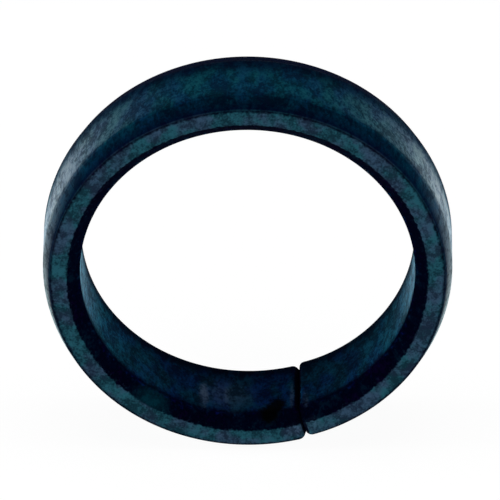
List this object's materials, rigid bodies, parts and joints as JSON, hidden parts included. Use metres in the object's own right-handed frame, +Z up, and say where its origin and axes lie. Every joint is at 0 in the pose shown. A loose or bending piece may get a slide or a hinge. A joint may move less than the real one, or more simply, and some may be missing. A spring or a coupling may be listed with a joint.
{
  "type": "split ring insulator",
  "caption": "Split ring of black moulded plastic that springs over a round fence tube and insulates the clamp closed round it.",
  "frame": {"origin": "centre of the bore, half way across the ring's width", "axes": "-Y along the bore, out of the front face that the picture shows; +Z up, with the ring on its rim as on a level rail; the slit lies 72.4 degrees below +X"},
  "size_m": [0.052, 0.0132, 0.052],
  "materials": {
    "moulded_plastic": "fine-grained moulded black plastic with a blue cast and a low sheen"
  },
  "bodies": {
    "left_arm": {"left_arm": "moulded_plastic"},
    "spine": {"spine": "moulded_plastic"},
    "right_arm": {"right_arm": "moulded_plastic"}
  },
  "joints": [
    {"name": "left_flex", "type": "hinge", "parent": "left_arm", "child": "spine", "pos_m": [-0.02408, 0, 0.00993], "axis": [0, -1, 0], "range_deg": [0, 29], "stiffness_Nm_per_rad": 2.7},
    {"name": "right_flex", "type": "hinge", "parent": "spine", "child": "right_arm", "pos_m": [0.01396, 0, 0.02199], "axis": [0, -1, 0], "range_deg": [0, 29], "stiffness_Nm_per_rad": 2.7}
  ],
  "couplings": [
    {"joint": "right_flex", "follows": "left_flex", "ratio": 1}
  ]
}
